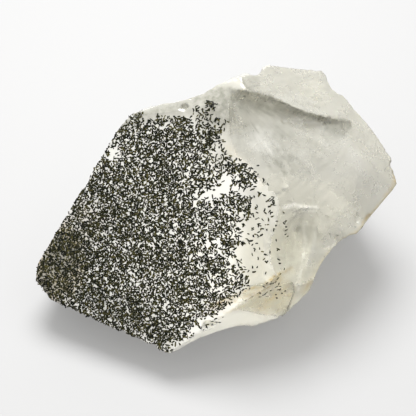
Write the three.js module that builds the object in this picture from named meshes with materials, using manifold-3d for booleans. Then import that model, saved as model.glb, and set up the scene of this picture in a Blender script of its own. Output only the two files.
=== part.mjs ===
// A hand-sized quartz crystal lying on its side: one big grown rhomb face full of dark mineral
// blades, narrow grown faces round it, and a broken end with shell-shaped fracture hollows.
//
// The crystal is shaped in a viewer's frame, in millimetres: u to the right, v up the view and
// w towards a viewer who looks down at it. It is then tipped on to the table, with +Z up.
import * as THREE from "three";
import { ImprovedNoise } from "three/addons/math/ImprovedNoise.js";
import { mergeVertices } from "three/addons/utils/BufferGeometryUtils.js";
import Module from "manifold-3d";

const VIEW_ELEVATION = THREE.MathUtils.degToRad(50); // how steeply the viewer looks down
const TABLE_DEPTH = 22; // from the middle of the crystal straight down to the table
const STOCK = 160; // side of the block that the faces are cut from
const FACET = 3.3; // longest triangle edge on the broken surfaces
const SWELL = { height: 0.45, size: 15 }; // slow swells of the broken surfaces
const LUMP = { height: 0.2, size: 5 }; // smaller lumps on top of them
const RIM_STEP = 1.7; // between points round the rim of a fracture hollow, and between its rings
const CHIP = { smallest: 0.6, largest: 1.7 }; // half-sizes of the chips along the edges
const SEED = 7; // starts the series of edge chips

const wasm = await Module();
wasm.setup();
const noise = new ImprovedNoise();

// The middle of the crystal, which every face looks away from.
const HEART = new THREE.Vector3(0, 0, -6);

// Grown faces, each through three points of the crystal's outline or edges.
const GROWN_FACES = {
  speckledRhomb: [[-39.6, -14.3, -2.1], [-19.1, 20.5, 3.65], [16.3, -14.5, 13.56]],
  frontPrism: [[-10.3, -31.4, 6.1], [4.2, -21.4, 10.2], [12, -23.8, 2]],
  topBevel: [[-19.1, 20.2, 3.65], [4.3, 22.9, 10.2], [5.5, 28.7, 8.2]],
  cornerBevel: [[-22.9, 15.8, 2.6], [-18.6, 20.6, 2.6], [-22, 17.5, -12]],
  tipBevel: [[-39.2, -11.5, -2], [-39.9, -15.5, -2], [-33, -14, -18]],
  tipUnder: [[-39.7, -15.9, -2.1], [-36.4, -20, -1.1], [-31, -16, -14]],
  leftBack: [[-38.1, -9.9, -1.5], [-22.6, 15.7, 2.8], [-20, 5.1, -20.8]],
  topStrip: [[-19.1, 20.4, 3.5], [5.4, 28.7, 8.2], [14, 32.8, -2]],
  topBack: [[-19.1, 20.9, -3], [13, 32.8, -3], [0, 16.3, -24.1]],
  leftUnder: [[-36.1, -20.1, -1.1], [-10.3, -31.4, 6.1], [-14, -17.2, -14.3]],
  frontUnder: [[-10.3, -31.4, 6.1], [14.4, -23.4, 0], [0, -20.3, -11.7]],
};

// Broken faces, each through three points in the same way.
const BROKEN_FACES = {
  brokenSlope: [[14, 0, 12.9], [39.6, 5.5, -5.5], [12, 31, 5]],
  tongue: [[5.4, 25.6, 10.9], [31, 18.6, -3.8], [20, 30.5, -5]],
  tongueTop: [[12.7, 32, 0.4], [24, 31.2, -7.6], [15, 23, -24]],
  upperRight: [[24.8, 29, -8], [37.5, 13, -6.7], [28.1, 11, -24]],
  rightEnd: [[37.9, 13.9, -6.7], [40.2, 6.2, -7], [32.4, 4, -22]],
  lowerRight: [[39.9, 4.8, -6], [19.9, -16.9, 13], [33, -4.6, -6.5]],
  frontRight: [[18.8, -20.5, 8], [14.9, -24.1, 5], [17.5, -19.5, -4]],
  rightUnder: [[40.8, 5, -9], [20, -22, -6], [20, -13, -17]],
  rearUnder: [[0, 10, -28.4], [20, 10, -28], [0, 18, -25]],
  rearEnd: [[20, 26, -18], [0, 24, -22], [10, 14, -30]],
};

// Shell-shaped hollows that fractures left. Each has its rim in the viewer's plane (with how far
// a point lies below the mouth, if it does), three points of the plane of its mouth, its deepest
// point and depth, the side where its wall is steep, how steep the wall is there and at the foot
// (powers of the distance from the deepest point), and the height and spacing of its ripples.
const HOLLOWS = {
  bowl: {
    rim: [
      [3.4, 25.4, 3.4], [2.4, 21.4, 4.2], [2.4, 16, 5.9], [3.4, 12.6, 6], [6.5, 9.4, 4.2], [9.7, 5.2, 2.4],
      [13.2, 3], [15.1, 4.1], [16.6, 7.4], [18.6, 10.4], [21.4, 12.4], [24.9, 14.2], [27.9, 15.7],
      [29.7, 17.2], [29.8, 19.1], [27.1, 19.5], [21.7, 20.6], [17.6, 21.8], [13.7, 23.7], [10, 25.2],
      [6.6, 25.6, 0.3],
    ],
    mouth: [[10, 25, 7.7], [29.9, 18.2, -3.4], [14.6, 3, 11.6]],
    middle: [13.5, 19], depth: 2.9, steep: [0.25, 0.97], wall: 2.6, foot: 1.3,
    ripple: 0.1, spacing: 3.3,
  },
  flank: {
    rim: [
      [14.9, 2.6], [13.4, -1.3], [12.3, -5.6], [11.4, -8.8], [12.1, -12.7], [13.3, -14.6], [15.4, -16.4],
      [18.2, -18.6], [21.4, -15], [25.4, -9.9], [30, -5.9], [29.4, -2.6], [25.5, 0.6], [20.4, 2.6],
    ],
    mouth: [[14.9, 2.6, 12.4], [11.4, -8.8, 12.4], [28.6, -4.6, 5.7]],
    middle: [18.5, -8], depth: 2.4, steep: [-0.9, -0.4], wall: 2.2, foot: 1.5,
    ripple: 0.06, spacing: 2.9,
  },
  lens: {
    rim: [
      [14.9, -2.8], [17.3, -0.4], [21.7, -0.3], [25.4, -2.8], [24.7, -7.8], [21.7, -12.7], [18.7, -15.2],
      [16.1, -14], [14.4, -10.5], [14, -6.7],
    ],
    mouth: [[14.9, -2.8, 10.7], [25.4, -2.8, 5.6], [18.7, -15.2, 11]],
    middle: [19, -4.4], depth: 0.6, steep: [0, 1], wall: 3, foot: 1.6,
    ripple: 0.08, spacing: 2.2,
  },
  stained: {
    rim: [
      [3.9, -21.3], [7.3, -19], [10.6, -17], [12.3, -15.4], [13.6, -13.6], [15.6, -14.6], [17, -17.6],
      [16.2, -20.4], [14.6, -23.6], [10.6, -23.1], [7.3, -22.3],
    ],
    mouth: [[3.9, -21.3, 10.1], [13.4, -14, 12.7], [12.5, -23, 2.2]],
    middle: [12, -18.8], depth: 0.4, steep: [-0.6, 0.8], wall: 4, foot: 3,
    ripple: 0, spacing: 1,
  },
};

// Larger nicks out of the outline: middle, half-sizes and turn in degrees of each ellipsoid.
const NICKS = [
  { at: [-6, 26.6, -1], half: [10, 3.1, 13], turn: 17 },
  { at: [27.1, 28.2, -9], half: [3.4, 2, 9], turn: -55 },
  { at: [8.2, 30.9, 1], half: [2, 1.9, 13], turn: 20 },
  { at: [26.4, -12.8, -4], half: [9.4, 3.9, 24], turn: 54 },
  { at: [-0.4, -29, 3], half: [9.2, 2.1, 9], turn: 19 },
  { at: [4.8, -19.2, 12.2], half: [7.5, 1.8, 2], turn: 23 },
];

// Edges that small chips have come off: two ends and how many chips.
const CHIPPED_EDGES = [
  { from: [-19, 20.2, 3.6], to: [3, 23, 10], chips: 2 },
  { from: [-39, -15, -2], to: [-35.5, -20, -1], chips: 2 },
  { from: [-35, -20.6, -0.8], to: [-12, -30.6, 5.6], chips: 5 },
  { from: [-9, -30.6, 6.6], to: [3, -22.3, 9.8], chips: 4 },
  { from: [-37.5, -9, -1.4], to: [-23.6, 15.6, 2.6], chips: 6 },
  { from: [14, 31.7, -0.6], to: [23.5, 31, -7.4], chips: 4 },
  { from: [28, 26.4, -7.6], to: [37.6, 14.8, -6.7], chips: 4 },
  { from: [38.4, 13, -6.8], to: [40, 8, -7], chips: 2 },
  { from: [37.5, 5.4, -4.6], to: [25.5, -7.6, 7], chips: 5 },
];

/** The half-space outside a face through three points, as a block to cut away. */
function outsideOf([a, b, c]) {
  const plane = new THREE.Plane().setFromCoplanarPoints(
    new THREE.Vector3(...a),
    new THREE.Vector3(...b),
    new THREE.Vector3(...c),
  );
  if (plane.distanceToPoint(HEART) > 0) plane.negate();
  const block = new THREE.BoxGeometry(2 * STOCK, 2 * STOCK, STOCK).translate(0, 0, STOCK / 2);
  const turn = new THREE.Quaternion().setFromUnitVectors(new THREE.Vector3(0, 0, 1), plane.normal);
  const foot = plane.projectPoint(HEART, new THREE.Vector3());
  return solidOf(block.applyQuaternion(turn).translate(foot.x, foot.y, foot.z));
}

/** A closed geometry as a solid that can be cut and joined. */
function solidOf(geometry) {
  const bare = geometry.clone();
  for (const name of Object.keys(bare.attributes)) {
    if (name !== "position") bare.deleteAttribute(name);
  }
  const merged = mergeVertices(bare, 1e-4);
  return new wasm.Manifold(
    new wasm.Mesh({
      numProp: 3,
      vertProperties: new Float32Array(merged.attributes.position.array),
      triVerts: new Uint32Array(merged.index.array),
    }),
  );
}

/** A solid as an indexed geometry. */
function geometryOf(solid) {
  const mesh = solid.getMesh();
  return new THREE.BufferGeometry()
    .setAttribute("position", new THREE.BufferAttribute(new Float32Array(mesh.vertProperties), 3))
    .setIndex(new THREE.BufferAttribute(new Uint32Array(mesh.triVerts), 1));
}

/** A block cut down to the inside of the faces. */
function cutFrom(faces) {
  let solid = solidOf(new THREE.BoxGeometry(STOCK, STOCK, STOCK));
  for (const face of Object.values(faces)) solid = solid.subtract(outsideOf(face));
  return solid;
}

/** Splits every edge longer than `longest`, alike on both sides, until none is left. */
function refine(geometry, longest) {
  const points = [];
  const position = geometry.attributes.position;
  for (let i = 0; i < position.count; i++) points.push(new THREE.Vector3().fromBufferAttribute(position, i));
  let triangles = [];
  for (let i = 0; i < geometry.index.count; i += 3) {
    triangles.push([0, 1, 2].map((k) => geometry.index.getX(i + k)));
  }
  for (let split = true; split; ) {
    split = false;
    const middles = new Map();
    const middleOf = (a, b) => {
      if (points[a].distanceTo(points[b]) <= longest) return -1;
      const key = a < b ? `${a},${b}` : `${b},${a}`;
      if (!middles.has(key)) {
        middles.set(key, points.length);
        points.push(points[a].clone().lerp(points[b], 0.5));
      }
      return middles.get(key);
    };
    const finer = [];
    for (const [a, b, c] of triangles) {
      const m = [middleOf(a, b), middleOf(b, c), middleOf(c, a)];
      const count = m.filter((x) => x >= 0).length;
      if (count === 0) {
        finer.push([a, b, c]);
        continue;
      }
      split = true;
      if (count === 3) {
        finer.push([a, m[0], m[2]], [m[0], b, m[1]], [m[2], m[1], c], [m[0], m[1], m[2]]);
        continue;
      }
      // Turned so that the first edge is split and, of two split edges, the last one isn't.
      const turns = [[a, b, c, ...m], [b, c, a, m[1], m[2], m[0]], [c, a, b, m[2], m[0], m[1]]];
      const [p, q, r, pq, qr] = turns.find((t) => (count === 1 ? t[3] >= 0 : t[5] < 0));
      if (count === 1) finer.push([p, pq, r], [pq, q, r]);
      else finer.push([pq, q, qr], [p, pq, qr], [p, qr, r]);
    }
    triangles = finer;
  }
  return new THREE.BufferGeometry()
    .setAttribute("position", new THREE.BufferAttribute(new Float32Array(points.flatMap((p) => p.toArray())), 3))
    .setIndex(triangles.flat());
}

/** Moves each point of a geometry along its normal by `relief(point)`. */
function relieve(geometry, relief) {
  geometry.computeVertexNormals();
  const { position, normal } = geometry.attributes;
  const point = new THREE.Vector3();
  const outwards = new THREE.Vector3();
  for (let i = 0; i < position.count; i++) {
    point.fromBufferAttribute(position, i);
    outwards.fromBufferAttribute(normal, i);
    point.addScaledVector(outwards, relief(point));
    position.setXYZ(i, point.x, point.y, point.z);
  }
  return geometry;
}

/** Smooth noise of about -1 to 1, with features `size` mm across. */
function waves(point, size) {
  return 1.4 * noise.noise(point.x / size + 31.7, point.y / size + 11.3, point.z / size + 5.9);
}

/** The uneven relief of a broken surface: slow swells, then smaller lumps. */
function brokenRelief(point) {
  return SWELL.height * waves(point, SWELL.size) + LUMP.height * waves(point, LUMP.size);
}

/** A fracture hollow as the solid to take away: a dished floor under the rim, and a lid. */
function hollow({ rim, mouth, middle, depth, steep, wall, foot, ripple, spacing }) {
  const plane = new THREE.Plane().setFromCoplanarPoints(...mouth.map((p) => new THREE.Vector3(...p)));
  const mouthAt = (u, v) => -(plane.constant + plane.normal.x * u + plane.normal.y * v) / plane.normal.z;
  const clockwise = THREE.ShapeUtils.isClockWise(rim.map(([u, v]) => new THREE.Vector2(u, v)));
  const outline = rim.map(([u, v, drop = 0]) => new THREE.Vector3(u, v, drop));
  const closed = new THREE.CatmullRomCurve3(clockwise ? outline.reverse() : outline, true);
  const steps = Math.round(closed.getLength() / RIM_STEP);
  const round = closed.getSpacedPoints(steps).slice(0, steps);
  const drops = round.map((p) => p.z);
  for (const p of round) p.z = 0;
  const centre = new THREE.Vector3(middle[0], middle[1], 0);
  const start = centre.clone().add(new THREE.Vector3(steep[0], steep[1], 0).multiplyScalar(7));
  const rings = Math.round(Math.max(...round.map((p) => p.distanceTo(centre))) / RIM_STEP);

  const points = [[centre.x, centre.y, mouthAt(centre.x, centre.y) - depth]];
  for (let ring = 1; ring <= rings; ring++) {
    const t = ring / rings;
    round.forEach((end, i) => {
      const p = centre.clone().lerp(end, t);
      const away = end.clone().sub(centre).normalize();
      const facing = THREE.MathUtils.smoothstep(away.x * steep[0] + away.y * steep[1], -0.3, 0.9);
      const power = THREE.MathUtils.lerp(foot, wall, facing);
      const wave = ripple * Math.sin((2 * Math.PI * p.distanceTo(start)) / spacing);
      const lump = LUMP.height * 0.6 * waves(p, LUMP.size);
      const floor = mouthAt(p.x, p.y) - drops[i] * t ** 2 - depth * (1 - t ** power);
      points.push([p.x, p.y, floor + (wave + lump) * (1 - t ** 6)]);
    });
  }
  for (const end of round) points.push([end.x, end.y, mouthAt(end.x, end.y) + 12]);
  points.push([centre.x, centre.y, mouthAt(centre.x, centre.y) + 12]);

  const triangles = [];
  const at = (ring, i) => 1 + (ring - 1) * steps + (i % steps);
  for (let i = 0; i < steps; i++) {
    triangles.push(0, at(1, i + 1), at(1, i));
    for (let ring = 1; ring <= rings; ring++) {
      triangles.push(at(ring, i), at(ring, i + 1), at(ring + 1, i + 1));
      triangles.push(at(ring, i), at(ring + 1, i + 1), at(ring + 1, i));
    }
    triangles.push(points.length - 1, at(rings + 1, i), at(rings + 1, i + 1));
  }
  const shell = new THREE.BufferGeometry()
    .setAttribute("position", new THREE.BufferAttribute(new Float32Array(points.flat()), 3))
    .setIndex(triangles);
  return solidOf(shell);
}

/** A rough ellipsoid to take out of an edge. `spin` turns it after it is sized. */
function nick(at, half, spin, detail) {
  const lump = new THREE.SphereGeometry(1, detail, detail - 2).scale(...half).applyQuaternion(spin);
  return solidOf(lump.translate(...at));
}

/** The nicks out of the outline and the seeded chips along the edges, joined. */
function damage() {
  const random = () => THREE.MathUtils.seededRandom();
  THREE.MathUtils.seededRandom(SEED);
  const between = (low, high) => low + (high - low) * random();
  const solids = NICKS.map(({ at, half, turn }) => {
    const spin = new THREE.Quaternion().setFromEuler(new THREE.Euler(0, 0, THREE.MathUtils.degToRad(turn)));
    return nick(at, half, spin, 14);
  });
  for (const { from, to, chips } of CHIPPED_EDGES) {
    for (let i = 0; i < chips; i++) {
      const at = new THREE.Vector3(...from).lerp(new THREE.Vector3(...to), random());
      const outwards = at.clone().sub(HEART).normalize();
      const size = CHIP.smallest + (CHIP.largest - CHIP.smallest) * random() ** 2;
      at.addScaledVector(outwards, 0.55 * size);
      const spin = new THREE.Quaternion().setFromEuler(new THREE.Euler(between(0, 3), between(0, 3), between(0, 3)));
      solids.push(nick(at.toArray(), [size, size * between(0.8, 1.4), size * between(1, 2)], spin, 7));
    }
  }
  return wasm.Manifold.union(solids);
}

/** The block of rough broken quartz that the grown faces are cut on. */
function brokenBody() {
  return solidOf(relieve(refine(geometryOf(cutFrom(BROKEN_FACES)), FACET), brokenRelief));
}

/** The foot that the crystal lies on: everything below the table, as a block to cut away. */
function belowTable() {
  const down = new THREE.Vector3(0, -Math.cos(VIEW_ELEVATION), -Math.sin(VIEW_ELEVATION));
  const block = new THREE.BoxGeometry(2 * STOCK, 2 * STOCK, STOCK).translate(0, 0, STOCK / 2 + TABLE_DEPTH);
  const turn = new THREE.Quaternion().setFromUnitVectors(new THREE.Vector3(0, 0, 1), down);
  return solidOf(block.applyQuaternion(turn));
}

/** The whole crystal, tipped on to the table, with its box centred over the origin. */
function quartzCrystal() {
  let solid = brokenBody().intersect(cutFrom(GROWN_FACES));
  for (const shape of Object.values(HOLLOWS)) solid = solid.subtract(hollow(shape));
  solid = solid.subtract(damage()).subtract(belowTable());
  const pieces = solid.decompose().sort((a, b) => b.volume() - a.volume());
  const geometry = geometryOf(pieces[0]);
  geometry.rotateX(Math.PI / 2 - VIEW_ELEVATION);
  geometry.computeBoundingBox();
  const { min, max } = geometry.boundingBox;
  geometry.translate(-(min.x + max.x) / 2, -(min.y + max.y) / 2, -min.z);
  const material = new THREE.MeshStandardMaterial({ color: 0xd8d5c8, roughness: 0.25, metalness: 0 });
  const mesh = new THREE.Mesh(geometry, material);
  mesh.name = "quartz_crystal";
  return mesh;
}

const crystal = new THREE.Group();
crystal.add(quartzCrystal());

export default crystal;
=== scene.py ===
"""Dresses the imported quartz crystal: clear and milky quartz with a cloud of dark mineral blades.

The solid is already shaped. This script copies it finer, wears its edges, ripples its fractures,
lays thousands of small blades under its grown faces, and sets the floor, the sky, the lamp and the
camera. Lengths in the dataclasses are millimetres, but the stage and the materials use metres.
Places (u, v) are in the viewer's picture plane, which passes through the middle of the crystal: u
to the right and v up, for a viewer who looks down at it.
"""

import logging
import math
import random
from collections.abc import Iterable
from dataclasses import dataclass, field
from enum import Enum

import bmesh
import bpy
import numpy as np
from mathutils import Matrix, Vector, noise
from mathutils.bvhtree import BVHTree
from mathutils.kdtree import KDTree


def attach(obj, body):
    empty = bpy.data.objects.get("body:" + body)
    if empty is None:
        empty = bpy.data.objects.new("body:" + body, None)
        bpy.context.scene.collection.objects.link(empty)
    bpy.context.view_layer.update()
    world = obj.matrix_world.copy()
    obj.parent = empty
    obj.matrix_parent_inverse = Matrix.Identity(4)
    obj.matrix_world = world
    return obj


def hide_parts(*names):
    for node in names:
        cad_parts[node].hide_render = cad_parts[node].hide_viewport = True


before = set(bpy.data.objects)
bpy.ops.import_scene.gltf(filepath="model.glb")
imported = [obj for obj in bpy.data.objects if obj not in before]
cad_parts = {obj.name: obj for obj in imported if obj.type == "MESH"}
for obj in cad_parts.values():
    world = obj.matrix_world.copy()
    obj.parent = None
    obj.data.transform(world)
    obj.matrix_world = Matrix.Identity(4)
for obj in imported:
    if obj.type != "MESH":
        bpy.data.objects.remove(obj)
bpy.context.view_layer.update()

Place = tuple[float, float]
Limits = tuple[float, float]
Triple = tuple[float, float, float]
Tree = bpy.types.NodeTree
Socket = bpy.types.NodeSocket
Colour = Triple
Blade = tuple[np.ndarray, np.ndarray, Colour]

MM = 0.001
NODE = "quartz_crystal"
BODY = "root"
QUARTZ_IOR = 1.544
BREAK_START: Place = (3.5, 25.7)  # where the break began that left the hollow
WELD = 1e-7  # metres, under which two points of the solid are one
LEVEL_RISE = 1e-9  # stands for the rise of a level line, so that nothing is divided by 0

log = logging.getLogger("quartz_crystal")


@dataclass(frozen=True)
class Viewer:
    """The viewer, in whose picture plane the features of the crystal are placed."""

    elevation: float = 50.0  # degrees that the viewer looks down
    origin: Triple = (-0.29, -1.79, 22.0)  # in the part's frame
    distance: float = 600.0  # from the origin to the camera
    width: float = 91.5  # seen at the origin, from side to side
    middle: Place = (-1.76, 0.22)  # what the camera looks at

    def axes(self) -> tuple[Vector, Vector, Vector]:
        """The directions to the right, up the view and towards the viewer, in the part's frame."""
        tilt = math.radians(self.elevation)
        right = Vector((1.0, 0.0, 0.0))
        up = Vector((0.0, math.sin(tilt), math.cos(tilt)))
        towards = Vector((0.0, -math.cos(tilt), math.sin(tilt)))
        return right, up, towards

    def place(self, u: float, v: float, w: float = 0.0) -> Vector:
        """A point of the picture plane, w nearer to the viewer, in metres in the part's frame."""
        right, up, towards = self.axes()
        return (Vector(self.origin) + u * right + v * up + w * towards) * MM

    def seen(self, points: np.ndarray) -> tuple[np.ndarray, np.ndarray]:
        """Where points show in the picture plane.

        Args:
            points: one row for each point, in metres in the part's frame.

        Returns:
            The u and the v of each point.
        """
        right, up, towards = (np.array(axis) for axis in self.axes())
        offset = points / MM - np.array(self.origin)
        nearer = 1.0 - offset @ towards / self.distance
        return offset @ right / nearer, offset @ up / nearer

    def facing(self, normals: np.ndarray) -> np.ndarray:
        """How far each direction faces the viewer, from -1 to 1."""
        return normals @ np.array(self.axes()[2])


VIEWER = Viewer()


class Zone(Enum):
    """What a patch of the surface is. The value is its material's place on the crystal."""

    GROWN = 0
    BROKEN = 1
    UNDERSIDE = 2


@dataclass(frozen=True)
class Patch:
    """A soft-edged ellipse of the picture plane."""

    u: float
    v: float
    half_u: float
    half_v: float
    strength: float
    turn: float = 0.0  # degrees
    fall: float = 0.7  # the power of its fading, less for a fuller patch

    def at(self, u: np.ndarray, v: np.ndarray) -> np.ndarray:
        """The strength at each place: full at the middle, none outside the edge."""
        turn = math.radians(self.turn)
        x = ((u - self.u) * math.cos(turn) + (v - self.v) * math.sin(turn)) / self.half_u
        y = ((v - self.v) * math.cos(turn) - (u - self.u) * math.sin(turn)) / self.half_v
        return self.strength * np.maximum(0.0, 1.0 - x * x - y * y) ** self.fall


@dataclass(frozen=True)
class Stroke:
    """A soft-edged line of the picture plane."""

    points: tuple[Place, ...]
    half_width: float
    strength: float

    def at(self, u: np.ndarray, v: np.ndarray) -> np.ndarray:
        """The strength at each place: full on the line, none past its half width."""
        across = distance_to_line(self.points, u, v) / self.half_width
        return self.strength * np.clip(1.0 - across, 0.0, 1.0)


@dataclass(frozen=True)
class Band:
    """What lies just under a line of the picture plane, strongest at the line."""

    line: tuple[Triple, ...]  # u, v and how far down the band reaches
    strength: float
    above: float = 0.15  # how far it reaches over the line
    steepness: float = 2.2  # more for a band that stays full further down

    def at(self, u: np.ndarray, v: np.ndarray) -> np.ndarray:
        """The strength at each place."""
        us, vs, reaches = np.array(self.line).T
        below = np.interp(u, us, vs) - v
        reach = np.interp(u, us, reaches)
        inside = (below > -self.above) & (u > us[0]) & (u < us[-1])
        fading = np.clip(self.steepness - self.steepness * below / reach, 0.0, 1.0)
        return self.strength * np.where(inside, fading, 0.0)


def distance_to_line(points: tuple[Place, ...], u: np.ndarray, v: np.ndarray) -> np.ndarray:
    """The distance from each place to a line of straight pieces."""
    nearest = np.full(np.shape(u), np.inf)
    for (au, av), (bu, bv) in zip(points, points[1:]):
        du, dv = bu - au, bv - av
        along = np.clip(((u - au) * du + (v - av) * dv) / (du * du + dv * dv), 0.0, 1.0)
        nearest = np.minimum(nearest, np.hypot(u - au - along * du, v - av - along * dv))
    return nearest


def painted(
    shapes: tuple[Patch | Stroke | Band, ...], u: np.ndarray, v: np.ndarray
) -> np.ndarray:
    """The sum of several shapes' strengths at each place."""
    return sum((shape.at(u, v) for shape in shapes), np.zeros(np.shape(u)))


def noise_at(points: np.ndarray, size: float, shift: float = 0.0) -> np.ndarray:
    """Smooth noise from about -1 to 1 at each point.

    Args:
        points: one row for each point.
        size: how large a lump is, in the points' unit.
        shift: moves the pattern, so that two fields differ.

    Returns:
        One value for each point.
    """
    return np.array([noise.noise(row) for row in (points / size + shift).tolist()])


@dataclass(frozen=True)
class Layer:
    """A layer of smooth noise."""

    strength: float
    size: float  # how large a lump is
    shift: float = 0.0

    def at(self, points: np.ndarray, unit: float = MM) -> np.ndarray:
        """The noise at each point.

        Args:
            points: one row for each point.
            unit: a millimetre in the points' unit.

        Returns:
            One value for each point, from about -strength to strength.
        """
        return self.strength * noise_at(points, self.size * unit, self.shift)


def layered(
    layers: tuple[Layer, ...], points: np.ndarray, base: float | np.ndarray = 0.0, unit: float = MM
) -> np.ndarray:
    """A base with layers of noise added.

    Args:
        layers: the layers.
        points: one row for each point.
        base: what they are added to.
        unit: a millimetre in the points' unit.

    Returns:
        One value for each point.
    """
    return sum((layer.at(points, unit) for layer in layers), base)


@dataclass(frozen=True)
class Fan:
    """Streaks that fan out from where the break began."""

    strength: float
    fineness: float  # streaks to a radian
    stretch: float  # how long a streak is
    shift: float = 0.0

    def at(self, u: np.ndarray, v: np.ndarray) -> np.ndarray:
        """The streaks at each place, from about -strength to strength."""
        du, dv = u - BREAK_START[0], v - BREAK_START[1]
        around, along = np.arctan2(dv, du) * self.fineness, np.hypot(du, dv) / self.stretch
        streaks = np.column_stack((around, along, np.full_like(u, self.shift)))
        return self.strength * noise_at(streaks, 1.0)


def link(tree: Tree, source: Socket, target: Socket) -> None:
    """Links two sockets of a node tree."""
    tree.links.new(source, target)


def new_material(name: str) -> tuple[bpy.types.Material, Tree, bpy.types.Node]:
    """A material with nodes.

    Args:
        name: the material's name.

    Returns:
        The material, its tree and its Principled node.
    """
    material = bpy.data.materials.new(name)
    material.use_nodes = True
    return material, material.node_tree, material.node_tree.nodes["Principled BSDF"]


def set_sockets(node: bpy.types.Node, values: dict[str, object]) -> None:
    """Sets the default values of a node's inputs by name."""
    for name, value in values.items():
        node.inputs[name].default_value = value


def attribute(tree: Tree, name: str) -> bpy.types.Node:
    """A node that reads one of the mesh's attributes."""
    node = tree.nodes.new("ShaderNodeAttribute")
    node.attribute_name = name
    return node


def map_range(tree: Tree, value: Socket, limits: dict[str, float]) -> bpy.types.Node:
    """A node that moves a value from one range to another.

    Args:
        tree: the nodes.
        value: the value.
        limits: the ends of the ranges that aren't 0 and 1, by the names of their sockets.

    Returns:
        The node.
    """
    node = tree.nodes.new("ShaderNodeMapRange")
    set_sockets(node, limits)
    link(tree, value, node.inputs["Value"])
    return node


def mixed(tree: Tree, factor: Socket, first: Socket, second: Socket) -> Socket:
    """Two colours mixed by a factor."""
    node = tree.nodes.new("ShaderNodeMix")
    node.data_type = "RGBA"
    link(tree, factor, node.inputs["Factor"])
    link(tree, first, node.inputs["A"])
    link(tree, second, node.inputs["B"])
    return node.outputs["Result"]


@dataclass(frozen=True)
class Grain:
    """A noise texture over the surface."""

    scale: float  # lumps in a metre
    detail: float
    limits: Limits = (0.0, 1.0)  # what becomes 0 and 1 in the stretched noise
    roughness: float = 0.62

    def plain(self, tree: Tree, place: Socket) -> Socket:
        """The noise as it is, from 0 to 1."""
        node = tree.nodes.new("ShaderNodeTexNoise")
        values = {"Scale": self.scale, "Detail": self.detail, "Roughness": self.roughness}
        set_sockets(node, values)
        link(tree, place, node.inputs["Vector"])
        return node.outputs["Fac"]

    def stretched(self, tree: Tree, plain: Socket) -> Socket:
        """The noise with more contrast."""
        limits = {"From Min": self.limits[0], "From Max": self.limits[1]}
        return map_range(tree, plain, limits).outputs["Result"]


@dataclass(frozen=True)
class QuartzSkin:
    """What the quartz finishes share, as a node group: clouds, milk, rust, crazing with painted
    shade, and pits.
    """

    name: str = "quartz_skin"
    tints: tuple[str, ...] = ("Clear", "Cloudy", "Milk", "Stain", "Crazing And Painted Shade")
    clouds: Grain = Grain(170.0, 6.0, (0.3, 0.7))
    specks: Grain = Grain(1300.0, 3.0, (0.42, 0.6))
    cracks: Grain = Grain(700.0, 5.0, (0.35, 0.62))
    pits: Grain = Grain(900.0, 5.0)
    milk_least: float = 0.9  # the share of the milk that shows between the specks
    stain_least: float = 0.45
    shade_least: float = 0.5

    def build(self) -> Tree:
        """The group, which gives the colour, the roughness and the height of the pits."""
        tree = bpy.data.node_groups.new(self.name, "ShaderNodeTree")
        self.add_sockets(tree, "INPUT", "NodeSocketColor", self.tints)
        self.add_sockets(tree, "INPUT", "NodeSocketFloat", ("Least Roughness", "Most Roughness"))
        self.add_sockets(tree, "OUTPUT", "NodeSocketColor", ("Colour",))
        self.add_sockets(tree, "OUTPUT", "NodeSocketFloat", ("Roughness", "Height"))
        given = tree.nodes.new("NodeGroupInput").outputs
        result = tree.nodes.new("NodeGroupOutput").inputs
        place = tree.nodes.new("ShaderNodeTexCoord").outputs["Object"]

        clouds = self.clouds.plain(tree, place)
        specks = self.specks.plain(tree, place)
        rust = self.specks.stretched(tree, specks)
        cracks = self.cracks.stretched(tree, self.cracks.plain(tree, place))
        colour = mixed(tree, clouds, given["Clear"], given["Cloudy"])
        for mask, tint, grain, least in (
            ("milk", "Milk", specks, self.milk_least),
            ("stain", "Stain", rust, self.stain_least),
            # the mask of the crazing and of the painted shade, broken up by the cracks
            ("crazing_and_painted_shade", "Crazing And Painted Shade", cracks, self.shade_least),
        ):
            share = self.broken_up(tree, attribute(tree, mask).outputs["Fac"], grain, least)
            colour = mixed(tree, share, colour, given[tint])
        link(tree, colour, result["Colour"])

        low, high = self.clouds.limits
        uneven = map_range(tree, clouds, {"From Min": low, "From Max": high})
        link(tree, given["Least Roughness"], uneven.inputs["To Min"])
        link(tree, given["Most Roughness"], uneven.inputs["To Max"])
        link(tree, uneven.outputs["Result"], result["Roughness"])
        link(tree, self.pits.plain(tree, place), result["Height"])
        return tree

    def add_sockets(self, tree: Tree, way: str, kind: str, names: tuple[str, ...]) -> None:
        """Adds inputs or outputs of one kind to the group."""
        for name in names:
            tree.interface.new_socket(name, in_out=way, socket_type=kind)

    def broken_up(self, tree: Tree, mask: Socket, grain: Socket, least: float) -> Socket:
        """A mask broken up by a fine grain.

        Args:
            tree: the group's nodes.
            mask: the mask, from 0 to 1.
            grain: the fine grain, from 0 to 1.
            least: the share of the mask that shows between the grains.

        Returns:
            The broken mask.
        """
        uneven = map_range(tree, grain, {"To Min": least, "To Max": 1.0})
        factor = tree.nodes.new("ShaderNodeMath")
        factor.operation = "MULTIPLY"
        factor.use_clamp = True
        link(tree, uneven.outputs["Result"], factor.inputs[0])
        link(tree, mask, factor.inputs[1])
        return factor.outputs["Value"]


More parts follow.
